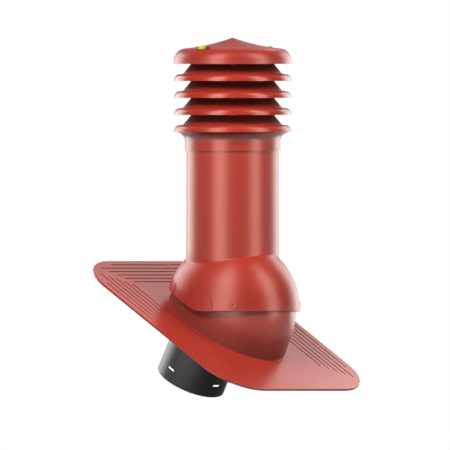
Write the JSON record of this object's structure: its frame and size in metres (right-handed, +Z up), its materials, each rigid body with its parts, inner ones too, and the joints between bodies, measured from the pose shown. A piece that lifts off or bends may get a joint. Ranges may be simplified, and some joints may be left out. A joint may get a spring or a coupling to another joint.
{
  "type": "roof vent pipe",
  "caption": "Insulated ventilation pipe for a pitched roof: flat flashing with a dome, a hood and pipe that tilt on it, a louvre stack with a rain cap, and a round duct spigot under the plate.",
  "frame": {"origin": "centre of the flashing plate's flat underside, below the middle of the dome", "axes": "+Z up along the pipe; the roof falls towards -Y at 30 degrees and its eave runs along X"},
  "size_m": [0.368, 0.3963, 0.6388],
  "materials": {
    "red_plastic": "satin brick-red moulding",
    "black_plastic": "satin black moulding",
    "foam": "light closed-cell foam",
    "steel": "zinc-plated screws",
    "vial_liquid": "clear vial with yellow-green liquid"
  },
  "bodies": {
    "base": {"base_flashing": "red_plastic", "duct_spigot": "black_plastic", "spigot_screws": "steel"},
    "pipe": {"hood_pipe": "red_plastic", "duct_seat": "black_plastic", "inner_duct": "black_plastic", "insulation_sleeve": "foam", "duct_top_ring": "black_plastic", "louvre_collar": "red_plastic", "louvre_ring_1": "red_plastic", "louvre_ring_2": "red_plastic", "louvre_ring_3": "red_plastic", "rain_cap": "red_plastic", "level_vial_left": "vial_liquid", "level_vial_right": "vial_liquid", "tie_screws": "steel"}
  },
  "joints": [
    {"name": "pitch_tilt", "type": "hinge", "parent": "base", "child": "pipe", "pos_m": [0, -0.0163, 0.02823], "axis": [-1, 0, 0], "range_deg": [-25, 5]}
  ]
}
